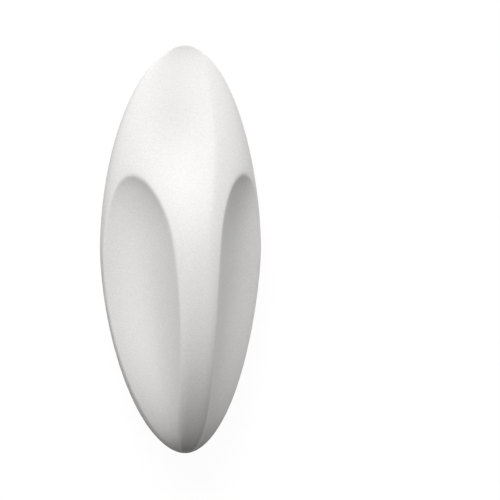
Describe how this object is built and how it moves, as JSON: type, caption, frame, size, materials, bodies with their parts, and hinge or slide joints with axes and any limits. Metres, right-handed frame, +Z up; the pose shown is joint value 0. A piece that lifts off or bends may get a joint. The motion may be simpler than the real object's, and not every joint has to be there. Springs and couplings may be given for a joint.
{
  "type": "rubber eraser",
  "caption": "Oval moulded rubber eraser with a dished wide end, a central ridge and open finger scoops on both sides",
  "frame": {"origin": "middle of the flat rest face under the body, which is the bottom centre of the overall box", "axes": "+Y along the length to the dished wide end, +Z up through the ridge, X across, with the ridge in the plane x = 0 and the thumb dish left of it, toward -X"},
  "size_m": [0.0308, 0.076, 0.019],
  "materials": {
    "rubber": "matte white moulded rubber with a faint grain"
  },
  "bodies": {
    "root": {"eraser": "rubber"}
  },
  "joints": []
}
